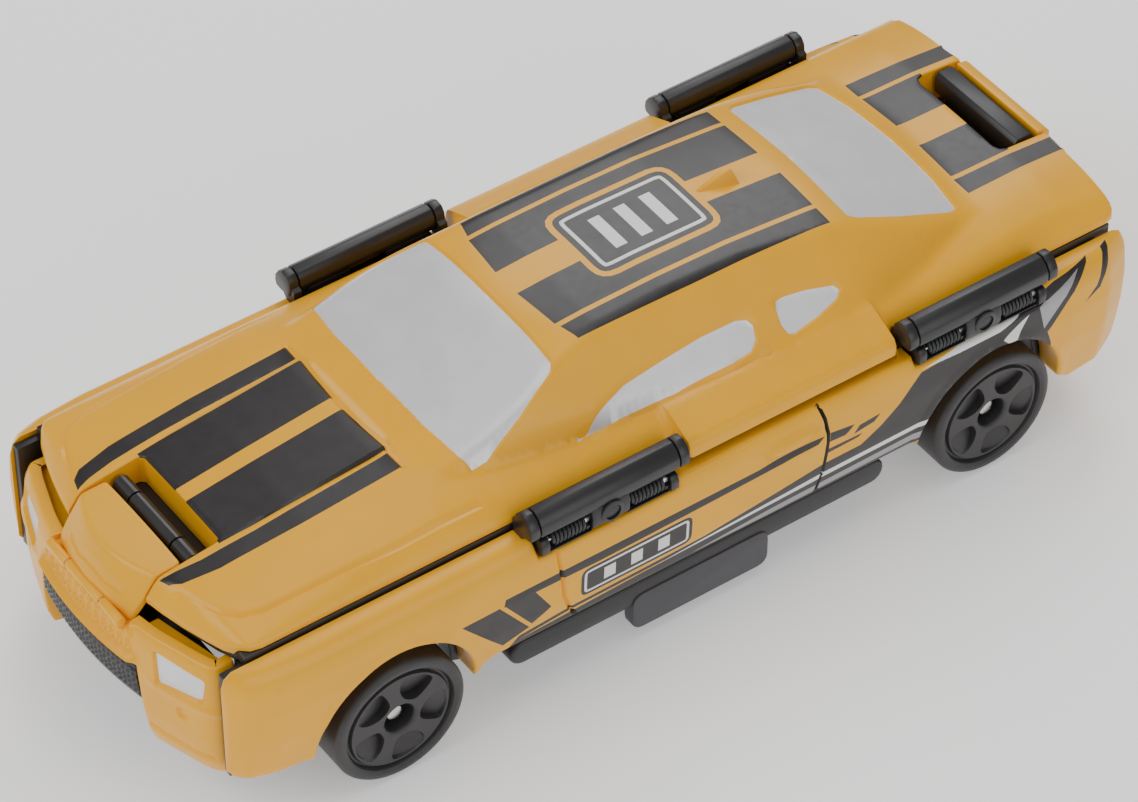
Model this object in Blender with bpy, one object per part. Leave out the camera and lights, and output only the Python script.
"""A flip-over toy car: a core with one car's top on each face, ringed by fold-over body panels.

Metres, +Z up.  The nose points along -Y, the car's left side along +X, the wheels stand on Z = 0.
All the driving sizes below are in millimetres, with Y counted from the middle of the wheelbase;
add() turns them into metres and moves them so that the whole car is centred on Y = 0.
"""
import math

import bmesh
import bpy
from mathutils import Matrix, Vector

MM = 0.001
MID_Y = 1.25                            # the wheelbase's middle lies this far behind the car's

# ---------------------------------------------------------------- driving sizes, mm
WHEEL_R = 8.75
WHEEL_OUT, WHEEL_IN = 26.7, 20.9        # outer and inner faces of a wheel
AXLE_Y = 42.5                           # half the wheelbase
ARCH_R = 10.6
PIN_R, BORE_R = 0.5, 0.62               # hinge pins and the bores that they turn in
AXLE_R, AXLE_BORE = 1.1, 1.25

HOOD_TIP, TAIL = -64.25, 64.9           # ends of the upper shell on the centre line
SHELL_EDGE = 22.0                       # half width of the upper shell
SHELL_Z0 = 25.2                         # its lower edge
SLOT_X = 8.2                            # half width of the slots in the hood and the trunk
SLOT_FRONT_Y, SLOT_REAR_Y = -53.7, 56.6
SILL_Y0, SILL_Y1, SILL_X = -1.7, 28.9, 24.8
FRAME_Z0, FRAME_Z1 = 23.4, 24.9         # the black middle frame
LOWER_X, LOWER_TOP = 18.8, 23.1         # the second car's top, upside down under the frame

SIDE_P1 = (24.5, 27.3)                  # core-to-link axis of a side panel, (x, z)
SIDE_P2 = (25.0, 24.2)                  # link-to-panel axis
LINK_Y = (-13.35, 40.25)                # centres of the two links on a side
LINK_HALF = 9.55
EAR = (9.75, 10.85)                     # reach of the frame's ears from a link's centre
LUG = (8.3, 9.4)                        # reach of the panel's lugs
WEB_HALF = 2.6
COIL = (2.9, 8.0)
NOTCH_HALF = 11.2

NOSE_P1 = (-57.0, 26.9)                 # core-to-nose axis, (y, z)
NOSE_P2 = (-66.6, 23.1)                 # nose-to-bumper axis
TAIL_P1 = (60.9, 28.2)                  # rear panel's axis
BAR_R = 1.6

PANEL_IN, SKIN_IN, SKIN_OUT = 22.3, 19.4, 22.0
PANEL_Y0, PANEL_Y1 = -63.2, 64.4
BUMPER_X = 20.9
BUMPER_Z0, BUMPER_Z1 = 6.5, 23.6
WALL = 1.5


# ---------------------------------------------------------------- materials
def material(name, colour, roughness, metallic=0.0):
    made = bpy.data.materials.new(name)
    made.use_nodes = True
    shader = made.node_tree.nodes["Principled BSDF"]
    shader.inputs["Base Color"].default_value = (*colour, 1.0)
    shader.inputs["Roughness"].default_value = roughness
    shader.inputs["Metallic"].default_value = metallic
    made.diffuse_color = (*colour, 1.0)
    return made


for stale in list(bpy.data.objects):
    bpy.data.objects.remove(stale)

YELLOW = material("yellow_abs", (0.85, 0.50, 0.03), 0.25)
BLACK = material("black_abs", (0.02, 0.02, 0.022), 0.35)
WHEEL_BLACK = material("wheel_black", (0.03, 0.03, 0.032), 0.5)
STEEL = material("steel", (0.75, 0.75, 0.76), 0.28, 1.0)


# ---------------------------------------------------------------- building blocks
def polygon(points):
    """A bmesh with one face round these points."""
    bm = bmesh.new()
    bm.faces.new([bm.verts.new(p) for p in points])
    return bm


def extrude(bm, offset):
    """Pushes the bmesh's one face along offset and closes the sides."""
    grown = bmesh.ops.extrude_face_region(bm, geom=bm.faces[:])
    moved = [g for g in grown["geom"] if isinstance(g, bmesh.types.BMVert)]
    bmesh.ops.translate(bm, verts=moved, vec=offset)
    return bm


def prism_x(profile, x0, x1):
    """Extrudes (y, z) points along X."""
    return extrude(polygon([(x0, y, z) for y, z in profile]), (x1 - x0, 0, 0))


def prism_y(profile, y0, y1):
    """Extrudes (x, z) points along Y."""
    return extrude(polygon([(x, y0, z) for x, z in profile]), (0, y1 - y0, 0))


def prism_z(profile, z0, z1):
    """Extrudes (x, y) points along Z."""
    return extrude(polygon([(x, y, z0) for x, y in profile]), (0, 0, z1 - z0))


def box(x0, x1, y0, y1, z0, z1):
    return prism_z([(x0, y0), (x1, y0), (x1, y1), (x0, y1)], z0, z1)


def circle(centre, radius, steps, start=0.0, turn=2 * math.pi):
    """Points on an arc in any plane; a full circle leaves its last point out."""
    count = steps if abs(turn) > 6.28 else steps + 1
    return [
        (
            centre[0] + radius * math.cos(start + turn * i / steps),
            centre[1] + radius * math.sin(start + turn * i / steps),
        )
        for i in range(count)
    ]


def rod_x(centre, radius, x0, x1, steps=16):
    return prism_x(circle(centre, radius, steps), x0, x1)


def rod_y(centre, radius, y0, y1, steps=16):
    return prism_y(circle(centre, radius, steps), y0, y1)


def skin_of(rings):
    """Joins closed rings of equal length into one closed surface."""
    bm = bmesh.new()
    rows = [[bm.verts.new(p) for p in ring] for ring in rings]
    count = len(rows[0])
    for lower, upper in zip(rows, rows[1:]):
        for i in range(count):
            j = (i + 1) % count
            bm.faces.new((lower[i], lower[j], upper[j], upper[i]))
    bm.faces.new(rows[0])
    bm.faces.new(rows[-1])
    return bm


def turned(profile, centre_y, centre_z, steps):
    """Spins a closed outline of (x, radius) points about the X axis through (centre_y, centre_z).

    The radii are those of the flats, and one flat lies at the bottom.
    """
    bm = bmesh.new()
    rows = []
    flats = math.cos(math.pi / steps)
    for i in range(steps):
        a = 2 * math.pi * (i + 0.5) / steps
        rows.append([
            bm.verts.new((x, centre_y + r / flats * math.cos(a), centre_z + r / flats * math.sin(a)))
            for x, r in profile
        ])
    count = len(profile)
    for i in range(steps):
        here, there = rows[i], rows[(i + 1) % steps]
        for j in range(count):
            k = (j + 1) % count
            bm.faces.new((here[j], here[k], there[k], there[j]))
    return bm


def merged(*parts):
    """Several bmeshes in one, for a cutter made of separate solids."""
    whole = bmesh.new()
    for part in parts:
        held = bpy.data.meshes.new("held")
        part.to_mesh(held)
        part.free()
        whole.from_mesh(held)
        bpy.data.meshes.remove(held)
    return whole


def add(name, bm, look, origin=(0, 0, 0), side=1):
    """Makes an object of a bmesh in millimetres; side -1 mirrors it to the car's right."""
    into_place = Matrix.Diagonal((MM * side, MM, MM, 1.0)) @ Matrix.Translation((0, MID_Y, 0))
    bmesh.ops.transform(bm, matrix=into_place, verts=bm.verts)
    bmesh.ops.recalc_face_normals(bm, faces=bm.faces)
    bmesh.ops.triangulate(bm, faces=bm.faces)
    spot = Vector((origin[0] * side, origin[1] + MID_Y, origin[2])) * MM
    bmesh.ops.translate(bm, verts=bm.verts, vec=-spot)
    mesh = bpy.data.meshes.new(name)
    bm.to_mesh(mesh)
    bm.free()
    mesh.materials.append(look)
    mesh.shade_smooth()
    mesh.set_sharp_from_angle(angle=math.radians(30))
    obj = bpy.data.objects.new(name, mesh)
    obj.location = spot
    bpy.context.scene.collection.objects.link(obj)
    return obj


def combine(target, bm, how, side=1):
    """Cuts a bmesh from the target or joins it on, with a Boolean whose tool stays hidden."""
    tool = add(f"{target.name}_{how.lower()}_{len(target.modifiers)}", bm, target.data.materials[0],
               side=side)
    tool.hide_render = True
    tool.display_type = "WIRE"
    step = target.modifiers.new(how.title(), "BOOLEAN")
    step.operation = how
    step.solver = "EXACT"
    step.object = tool


def cut(target, bm, side=1):
    combine(target, bm, "DIFFERENCE", side)


def join(target, bm, side=1):
    combine(target, bm, "UNION", side)


def ramp(value, table):
    """Linear interpolation in a short table of (position, value)."""
    for (a, va), (b, vb) in zip(table, table[1:]):
        if value <= b:
            t = min(max((value - a) / (b - a), 0.0), 1.0)
            return va + (vb - va) * t
    return table[-1][1]


def soft_min(a, b, blend):
    h = max(blend - abs(a - b), 0.0) / blend
    return min(a, b) - h * h * blend / 4


# ---------------------------------------------------------------- upper shell surface
CENTRE_Z = ((-66, 27.7), (-60, 28.6), (-53.7, 29.4), (-45, 30.3), (-32, 31.4),
            (49, 30.4), (57, 30.3), (66, 29.6))
CROWN = ((-60, 1.0), (-25, 2.0), (0, 1.9), (35, 1.6), (50, 1.0))
ROOF_Z = ((-14, 37.5), (-5, 38.1), (5, 38.3), (15, 38.1), (28, 37.0), (34, 36.4))
ROOF_X = ((-20, 12.6), (-11, 13.4), (0, 14.0), (12, 13.9), (31, 12.2), (47, 11.4))
BELT_X = ((-30, 17.6), (-12, 19.2), (10, 19.6), (25, 19.2), (38, 17.6), (47, 15.2))


def deck_z(x, y):
    fall = 0.3 * (x / 12) ** 2 + 1.0 * (max(0.0, x - 12) / 9) ** 2
    return ramp(y, CENTRE_Z) - fall * ramp(y, CROWN)


def cabin_z(x, y):
    """The greenhouse: windscreen, roof, side and rear glass, each a gently curved face."""
    screen = 31.3 + 0.304 * (y + 33 - 0.024 * x * x - 0.21 * max(0.0, x - 13.4) ** 3)
    roof = ramp(y, ROOF_Z) - 0.0035 * x * x
    edge, belt = ramp(y, ROOF_X), ramp(y, BELT_X)
    side = 37.2 - (x - edge) * 7.9 / (belt - edge)
    rear = 36.7 - 0.333 * (y + 0.0156 * x * x - 30.2)
    z = soft_min(screen, rear, 1.0)
    return soft_min(soft_min(z, roof, 1.0), side, 1.6)


def tip_y(x):
    return HOOD_TIP + 0.0099 * x * x


def tail_y(x):
    return TAIL - 0.0024 * x * x


def shell_z(x, y):
    x = abs(x)
    deck, cabin = deck_z(x, y), cabin_z(x, y)
    z = -soft_min(-deck, -cabin, 0.8)
    z = soft_min(z, SHELL_Z0 + 0.6 + (y - tip_y(x)) * 1.35, 0.6)
    z = soft_min(z, SHELL_Z0 + 1.2 + (tail_y(x) - y) * 4.0, 0.6)
    return soft_min(z, 26.4 + (SHELL_EDGE - x) * 1.1, 0.8)


def shell_solid(x_share, y_share, drop, floor, half, ends=(0.0, 1.0)):
    """A solid under the shell's surface: rings across the car, from nose to tail."""
    rings = []
    for s in y_share:
        s = ends[0] + (ends[1] - ends[0]) * s
        ring = []
        for share in x_share:
            x = half * share
            y = tip_y(x) + (tail_y(x) - tip_y(x)) * s
            ring.append((x, y, shell_z(x, y) - drop))
        x0 = half * x_share[0]
        y0 = tip_y(x0) + (tail_y(x0) - tip_y(x0)) * s
        ring += [(-x0, y0, floor), (x0, y0, floor)]
        rings.append(ring)
    return skin_of(rings)


def both_ways(half_shares):
    return [-v for v in reversed(half_shares)] + [0.0] + list(half_shares)


ACROSS = both_ways((0.13, 0.27, 0.4, 0.5, 0.56, 0.61, 0.66, 0.72, 0.79, 0.86, 0.92, 0.965, 1.0))
ALONG = (0.0, 0.008, 0.018, 0.035, 0.07, 0.12, 0.18, 0.23, 0.255, 0.28, 0.31, 0.345, 0.375, 0.40,
         0.43, 0.47, 0.53, 0.59, 0.65, 0.70, 0.735, 0.77, 0.81, 0.85, 0.875, 0.91, 0.95, 0.98,
         0.993, 1.0)

shell = add("upper_body_shell", shell_solid(ACROSS, ALONG, 0.0, SHELL_Z0, SHELL_EDGE), YELLOW)
join(shell, prism_y([(19.2, 25.0), (24.6, 25.0), (24.85, 25.8), (24.2, 27.0), (23.2, 27.4),
                     (20.0, 28.9), (19.2, 28.9)], SILL_Y0, SILL_Y1))
join(shell, prism_y([(-19.2, 25.0), (-24.6, 25.0), (-24.85, 25.8), (-24.2, 27.0), (-23.2, 27.4),
                     (-20.0, 28.9), (-19.2, 28.9)], SILL_Y0, SILL_Y1))
INSIDE = both_ways((0.4, 0.62, 0.8, 1.0))
cut(shell, shell_solid(INSIDE, (0, 0.16, 0.24, 0.36, 0.46, 0.6, 0.74, 0.85, 1.0), 1.7, SHELL_Z0 - 1,
                       18.6, (0.12, 0.86)))
cut(shell, box(-SLOT_X, SLOT_X, HOOD_TIP - 2, SLOT_FRONT_Y, 20, 35))
cut(shell, box(-SLOT_X, SLOT_X, SLOT_REAR_Y, TAIL + 2, 20, 35))
cut(shell, rod_x(TAIL_P1, BORE_R, -10.9, 10.9))
join(shell, prism_x([(16.8, 36.5), (25.4, 36.2), (25.6, 38.6), (24.2, 39.3), (22.6, 38.9)],
                    -0.45, 0.45))

# ---------------------------------------------------------------- middle frame
lug_x = 20.2
half_plan = [(0, -58.4), (17.5, -58.4), (20.5, -58.0), (22.0, -56.4)]
for yc in LINK_Y:
    half_plan += [(22.0, yc - LUG[1] - 0.2), (lug_x, yc - LUG[1] - 0.2),
                  (lug_x, yc + LUG[1] + 0.2), (22.0, yc + LUG[1] + 0.2)]
half_plan += [(22.0, 58.6), (20.6, 60.2), (8.4, 60.4), (8.4, 58.6), (0, 58.6)]
plan = half_plan + [(-x, y) for x, y in reversed(half_plan[1:-1])]
frame = add("middle_frame", prism_z(plan, FRAME_Z0, FRAME_Z1), BLACK)
ear_shape = ([(21.0, FRAME_Z0 + 0.05), (22.9, FRAME_Z0 + 0.05), (25.75, 26.9)]
             + circle(SIDE_P1, 1.3, 6, 0.0, math.pi) + [(22.95, 27.3), (22.35, 27.0),
                                                        (22.35, 24.7), (21.0, 24.7)])
for side in (1, -1):
    for yc in LINK_Y:
        for a, b in ((-EAR[1], -EAR[0]), EAR):
            join(frame, prism_y(ear_shape, yc + a, yc + b), side)
        cut(frame, rod_y(SIDE_P1, BORE_R, yc - 12, yc + 12), side)
    knuckle = [(-57.9, 24.4)] + circle(NOSE_P1, 1.1, 8, math.pi, -math.pi) + [(-56.0, 24.4)]
    join(frame, prism_x(knuckle, 4.5, 7.6), side)
cut(frame, rod_x(NOSE_P1, BORE_R, -9, 9))

# ---------------------------------------------------------------- second car's top, upside down
LOWER_Z = ((-60, 20.6), (-34, 19.4), (-30, 19.0), (-18, 11.6), (-12, 10.4), (8, 10.0),
           (24, 11.0), (30, 13.4), (36, 18.6), (46, 19.0), (61, 19.8))


def lower_z(x, y):
    """The second car's skin: hood, cabin and bed, seen from below."""
    x = abs(x)
    deck = 19.4 + 0.7 * (x / 14) ** 2 - (1.2 if y < -30 else 0.6) * (1 - min(1, (x / 15) ** 2)) * 0.4
    cabin = ramp(y, LOWER_Z) + 0.006 * x * x
    side = 10.6 + max(0.0, x - 13.2) * 2.1
    z = max(cabin, side) if cabin < 18 else cabin
    return min(max(z, 9.8), deck + 1.2)


lower_rings = []
for y in (-58.6, -56, -44, -34, -30, -24, -18, -12, -2, 8, 18, 24, 30, 36, 46, 57, 59.8):
    ends = 1.6 if y in (-58.6, 59.8) else 0.0
    ring = [(LOWER_X * share, y, min(lower_z(LOWER_X * share, y) + ends, LOWER_TOP - 0.6))
            for share in both_ways((0.3, 0.55, 0.7, 0.78, 0.88, 0.96, 1.0))]
    ring += [(LOWER_X, y, LOWER_TOP), (-LOWER_X, y, LOWER_TOP)]
    lower_rings.append(ring)
lower = add("lower_body_shell", skin_of(lower_rings), BLACK)
cut(lower, skin_of([
    [(-x, y, LOWER_TOP + 1), (x, y, LOWER_TOP + 1), (x * 0.8, y, z), (-x * 0.8, y, z)]
    for x, y, z in ((16.6, -55, 21.6), (16.6, -29, 20.8), (14.6, -16, 13.6), (14.6, 22, 13.0),
                    (16.6, 37, 20.6), (16.6, 56, 21.2))
]))

# ---------------------------------------------------------------- side links, pins and springs
def coil(y0, y1, turns, around, radius, wire, steps, sides):
    """A torsion spring: a round wire wound about a line along Y."""
    rings = []
    for i in range(steps + 1):
        t = i / steps
        a = 2 * math.pi * turns * t
        out = Vector((math.cos(a), 0, math.sin(a)))
        centre = Vector((around[0], y0 + wire + (y1 - y0 - 2 * wire) * t, around[1])) + out * radius
        ring = []
        for k in range(sides):
            b = 2 * math.pi * k / sides
            ring.append(centre + out * (wire * math.cos(b)) + Vector((0, wire * math.sin(b), 0)))
        rings.append(ring)
    return skin_of(rings)


def two_circles(a, b, radius, steps):
    """The outline round two equal circles."""
    lean = math.atan2(b[1] - a[1], b[0] - a[0])
    return (circle(b, radius, steps, lean - math.pi / 2, math.pi)
            + circle(a, radius, steps, lean + math.pi / 2, math.pi))


for side, hand in ((1, "left"), (-1, "right")):
    for place, yc in zip(("front", "rear"), LINK_Y):
        tag = f"{hand}_{place}"
        root = (SIDE_P1[0], yc, SIDE_P1[1])
        link = add(f"link_{tag}", rod_y(SIDE_P1, BAR_R, yc - LINK_HALF, yc + LINK_HALF, 20), BLACK,
                   root, side)
        join(link, prism_y(two_circles(SIDE_P1, SIDE_P2, 1.45, 8), yc - WEB_HALF, yc + WEB_HALF),
             side)
        cut(link, rod_y(SIDE_P1, BORE_R, yc - 12, yc + 12), side)
        cut(link, rod_y(SIDE_P2, BORE_R, yc - 5, yc + 5), side)
        cut(link, rod_x((yc, 25.2), 1.15, 26.2, 28, 16), side)
        add(f"link_pin_{tag}", rod_y(SIDE_P1, PIN_R, yc - EAR[1], yc + EAR[1]), STEEL, root, side)
        add(f"panel_pin_{tag}", rod_y(SIDE_P2, PIN_R, yc - LUG[1], yc + LUG[1]), STEEL,
            (SIDE_P2[0], yc, SIDE_P2[1]), side)
        for end, (a, b) in (("a", (-COIL[1], -COIL[0])), ("b", COIL)):
            add(f"spring_{tag}_{end}", coil(yc + a, yc + b, 4.25, SIDE_P2, 0.85, 0.2, 34, 4), BLACK,
                (SIDE_P2[0], yc, SIDE_P2[1]), side)

# ---------------------------------------------------------------- side panels
PANEL_PROFILE = ((26.4, 23.6), (25.6, 24.6), (24.4, 25.5), (22.0, 26.1), (18.5, 26.5), (14.0, 26.3),
                 (10.5, 25.8), (6.0, 25.0))


def panel_fill():
    """The fenders' and doors' outer curve, drawn in at the nose and the tail."""
    rings = []
    for y, inset in ((-63.4, 3.6), (-62.8, 2.6), (-61.2, 1.4), (-58.0, 0.5), (-52.0, 0.0),
                     (54.0, 0.0), (60.0, 0.5), (63.2, 1.4), (64.6, 2.8)):
        ring = [(x - inset, y, z) for z, x in PANEL_PROFILE]
        ring = [(max(x, PANEL_IN + 0.4), y, z) for x, y, z in ring]
        rings.append([(PANEL_IN - 1, y, 27.0)] + ring + [(PANEL_IN - 1, y, 4.0)])
    return skin_of(rings)


def arch(centre_y, radius, steps, floor):
    """A wheel arch's cutter outline: a half circle with straight legs below."""
    return circle((centre_y, WHEEL_R), radius, steps, 0.0, math.pi) + [
        (centre_y - radius, floor), (centre_y + radius, floor)]


PANEL_OUTLINE = [(-63.2, 9.6), (-63.2, 24.6), (-61.8, 25.6), (LINK_Y[0] - NOTCH_HALF, 25.6),
                 (LINK_Y[0] - NOTCH_HALF, 22.5), (LINK_Y[0] + NOTCH_HALF, 22.5),
                 (LINK_Y[0] + NOTCH_HALF, 24.3), (LINK_Y[1] - NOTCH_HALF, 24.3),
                 (LINK_Y[1] - NOTCH_HALF, 22.5), (LINK_Y[1] + NOTCH_HALF, 22.5),
                 (LINK_Y[1] + NOTCH_HALF, 25.4), (63.4, 25.4), (64.4, 24.2), (64.4, 7.6),
                 (63.4, 6.6), (55.0, 6.6), (53.1, 8.4), (31.9, 9.6), (-31.0, 10.2), (-31.9, 8.2),
                 (-53.1, 8.0), (-62.4, 8.8)]
for side, hand in ((1, "left"), (-1, "right")):
    hinge = (SIDE_P2[0], 0, SIDE_P2[1])
    panel = add(f"side_panel_{hand}", prism_x(PANEL_OUTLINE, PANEL_IN, 27.5), YELLOW, hinge, side)
    combine(panel, panel_fill(), "INTERSECT", side)
    for centre in (-AXLE_Y, AXLE_Y):
        cut(panel, prism_x(arch(centre, ARCH_R, 20, 0), 15, 30), side)
    cut(panel, merged(box(20, 24.5, -23.5, 31.0, 12.2, 20.8), box(20, 23.6, -61.0, -55.0, 11, 22.5),
                      box(20, 23.6, 55.0, 62.2, 9.5, 22.0)), side)

    skin_outline = [(-58.0, 12.0), (-58.0, 22.9), (57.8, 22.9), (57.8, 9.0), (56.8, 8.0),
                    (51.0, 8.0), (33.5, 7.2), (27.3, 5.4), (-26.0, 5.4), (-33.0, 8.6),
                    (-52.5, 10.8)]
    skin = add(f"side_skin_{hand}", prism_x(skin_outline, SKIN_IN, SKIN_OUT), BLACK, hinge, side)
    for centre in (-AXLE_Y, AXLE_Y):
        cut(skin, prism_x(arch(centre, 9.8, 16, 0), 15, 30), side)
        hanger = circle((centre, WHEEL_R), 3.0, 10, math.pi, math.pi) + [
            (centre + 1.8, 19.4), (centre - 1.8, 19.4)]
        join(skin, prism_x(hanger, SKIN_IN + 0.05, WHEEL_IN - 0.3), side)
        cut(skin, rod_x((centre, WHEEL_R), AXLE_R + 0.1, 15, 24, 16), side)
    rail = (circle((-24.6, 7.3), 1.8, 6, math.pi / 2, math.pi)
            + circle((25.6, 7.3), 1.8, 6, -math.pi / 2, math.pi))
    join(skin, prism_x(rail, 21.0, 25.0), side)
    tab = [(-9.4, 7.0), (-9.4, 3.0), (-8.0, 1.6), (8.8, 1.6), (10.2, 3.0), (10.2, 7.0)]
    join(skin, prism_x(tab, 23.3, 25.2), side)
    lug = ([(20.6, 22.4), (21.7, 22.4), (21.7, 22.85), (23.4, 22.95)]
           + circle(SIDE_P2, 1.1, 8, -math.pi / 2, math.pi) + [(20.6, 24.5)])
    for yc in LINK_Y:
        for a, b in ((-LUG[1], -LUG[0]), LUG):
            join(skin, prism_y(lug, yc + a, yc + b), side)
        cut(skin, rod_y(SIDE_P2, BORE_R, yc - 12, yc + 12), side)

    for place, centre in (("front", -AXLE_Y), ("rear", AXLE_Y)):
        tag = f"{hand}_{place}"
        hub = (WHEEL_OUT, centre, WHEEL_R)
        rim = [(WHEEL_IN, AXLE_BORE), (WHEEL_IN, 7.9), (WHEEL_IN + 0.4, 8.4), (WHEEL_IN + 0.9, 8.75),
               (WHEEL_OUT - 0.5, 8.75), (WHEEL_OUT, 8.3), (WHEEL_OUT, 7.3), (WHEEL_OUT - 0.35, 7.1),
               (WHEEL_OUT - 0.35, 6.7), (WHEEL_OUT - 0.1, 6.5), (WHEEL_OUT - 0.1, 1.95),
               (WHEEL_OUT - 2.2, 1.95), (WHEEL_OUT - 2.2, AXLE_BORE)]
        wheel = add(f"wheel_{tag}", turned(rim, centre, WHEEL_R, 28), WHEEL_BLACK, hub, side)
        pockets = []
        for i in range(5):
            a = 2 * math.pi * (i + 0.25) / 5
            outline = []
            for r, lean in ((3.0, -0.05), (3.6, 0.28), (5.9, 0.42), (6.1, 0.0), (5.6, -0.22)):
                outline.append((centre + r * math.cos(a + lean), WHEEL_R + r * math.sin(a + lean)))
            pockets.append(prism_x(outline, WHEEL_OUT - 0.9, WHEEL_OUT + 1))
        cut(wheel, merged(*pockets), side)
        add(f"axle_pin_{tag}", rod_x((centre, WHEEL_R), AXLE_R, SKIN_IN + 0.1, 25.2, 16), STEEL,
            hub, side)
    for place, spot in (("front", (-22.0, 15.0)), ("rear", (22.0, 15.0))):
        add(f"panel_screw_{hand}_{place}",
            rod_x(spot, 1.5, SKIN_IN - 0.5, SKIN_IN - 0.15, 12), STEEL, hinge, side)

# ---------------------------------------------------------------- nose, front bumper
def nose_solid():
    """The nose plate: level behind, then falling to the grille, 1.4 mm thick."""
    rings = []
    for x in (-7.9, -6.0, -3.5, 0.0, 3.5, 6.0, 7.9):
        crease = -64.4 + 0.033 * x * x
        drop = 0.006 * x * x
        rings.append([(x, -58.7, 26.6), (x, -58.9, 28.15), (x, -60.5, 28.25 - drop / 2),
                      (x, crease + 0.6, 28.0 - drop), (x, crease - 0.1, 27.5 - drop),
                      (x, -66.4, 24.4), (x, -65.3, 23.9), (x, crease + 0.9, 26.2 - drop),
                      (x, -60.5, 26.6)])
    return skin_of(rings)


nose_axis = (0, NOSE_P1[0], NOSE_P1[1])
bumper_axis = (0, NOSE_P2[0], NOSE_P2[1])
nose = add("nose_plate", nose_solid(), YELLOW, nose_axis)
join(nose, prism_x(two_circles(NOSE_P2, (-65.6, 24.6), 1.0, 8), -3.4, 3.4))
cut(nose, rod_x(NOSE_P2, BORE_R - 0.05, -5, 5))
strap = add("nose_strap", rod_x(NOSE_P1, 1.1, -4.2, 4.2, 20), BLACK, nose_axis)
join(strap, prism_x([(-57.3, 25.25), (-57.3, 26.3), (-59.4, 26.2), (-62.2, 25.85), (-62.6, 25.5),
                     (-62.2, 25.25)], -4.2, 4.2))
cut(strap, rod_x(NOSE_P1, BORE_R, -9, 9))
add("nose_pin", rod_x(NOSE_P1, PIN_R, -7.6, 7.6), STEEL, nose_axis)
add("bumper_pin", rod_x(NOSE_P2, PIN_R - 0.05, -7.5, 7.5), STEEL, bumper_axis)

BUMPER_PLAN = ((20.9, 59.6), (20.9, 61.8), (20.2, 63.0), (18.5, 64.0), (15.0, 65.2), (11.0, 66.4),
               (5.5, 67.3), (0.0, 67.6))


def wrap(shrink, back, front_only=False):
    """A bumper's plan outline: out round the corners, then back a wall's depth inside."""
    outer = [(x - (shrink if x > 1 else 0), back * (u - shrink)) for x, u in BUMPER_PLAN]
    outer += [(-x, y) for x, y in reversed(outer[:-1])]
    inner = [(x - (shrink + WALL if x > 1 else 0), back * (u - shrink - WALL))
             for x, u in BUMPER_PLAN[1:]]
    inner = [(inner[0][0], outer[0][1])] + inner
    inner += [(-x, y) for x, y in reversed(inner[:-1])]
    return outer + list(reversed(inner))


bumper = add("front_bumper", prism_z(wrap(0.0, -1), BUMPER_Z0, BUMPER_Z1), YELLOW, bumper_axis)
join(bumper, prism_x([(-66.2, 18.2), (-68.4, 18.6), (-68.7, 19.4), (-68.0, 20.2), (-66.2, 20.6)],
                     -7.5, 7.5))
cut(bumper, box(-8.2, 8.2, -70, -55, 21.9, 26))
cut(bumper, box(-3.6, 3.6, -70, -60, 21.3, 24))
for side in (1, -1):
    join(bumper, prism_x(two_circles(NOSE_P2, (-66.4, 21.2), 1.0, 8), 3.7, 7.5), side)
cut(bumper, rod_x(NOSE_P2, BORE_R - 0.05, -9, 9))
cut(bumper, prism_y([(-11.2, 5), (-10.0, 18.3), (10.0, 18.3), (11.2, 5)], -70, -60))

dam = add("front_dam", prism_z(wrap(WALL + 0.3, -1), 8.6, 20.8), BLACK, bumper_axis)
cut(dam, box(-22, 22, -60.2, -50, 5, 25))
join(dam, prism_x([(-64.6, 12.0), (-67.2, 12.0), (-67.9, 14.0), (-67.6, 17.9), (-64.6, 17.9)],
                  -9.4, 9.4))

# ---------------------------------------------------------------- rear panel
tail_axis = (0, TAIL_P1[0], TAIL_P1[1])
rear = add("rear_panel", prism_z([(x, y - 1.4) for x, y in wrap(0.0, 1)], BUMPER_Z0, 22.8), YELLOW,
           tail_axis)
join(rear, prism_x([(64.75, 21.5), (66.1, 21.5), (65.5, 25.0), (64.85, 26.2), (64.85, 29.0),
                    (64.3, 29.5), (62.9, 29.7), (62.9, 28.3), (63.6, 28.0), (63.6, 26.0),
                    (64.2, 24.6)], -7.8, 7.8))
tail_skin = add("rear_skin", prism_z([(x, y - 1.4) for x, y in wrap(WALL + 0.3, 1)], 7.6, 22.2),
                BLACK, tail_axis)
cut(tail_skin, box(-22, 22, 50, 60.4, 5, 25))
join(tail_skin, prism_x([(61.1, 19.0), (63.5, 19.0), (63.5, 22.0), (62.3, 22.6), (62.3, 28.0),
                         (61.1, 28.0)], -7.6, 7.6))
join(tail_skin, rod_x(TAIL_P1, BAR_R, -7.8, 7.8, 20))
cut(tail_skin, rod_x(TAIL_P1, BORE_R, -12, 12))
add("rear_pin", rod_x(TAIL_P1, PIN_R, -10.6, 10.6), STEEL, tail_axis)
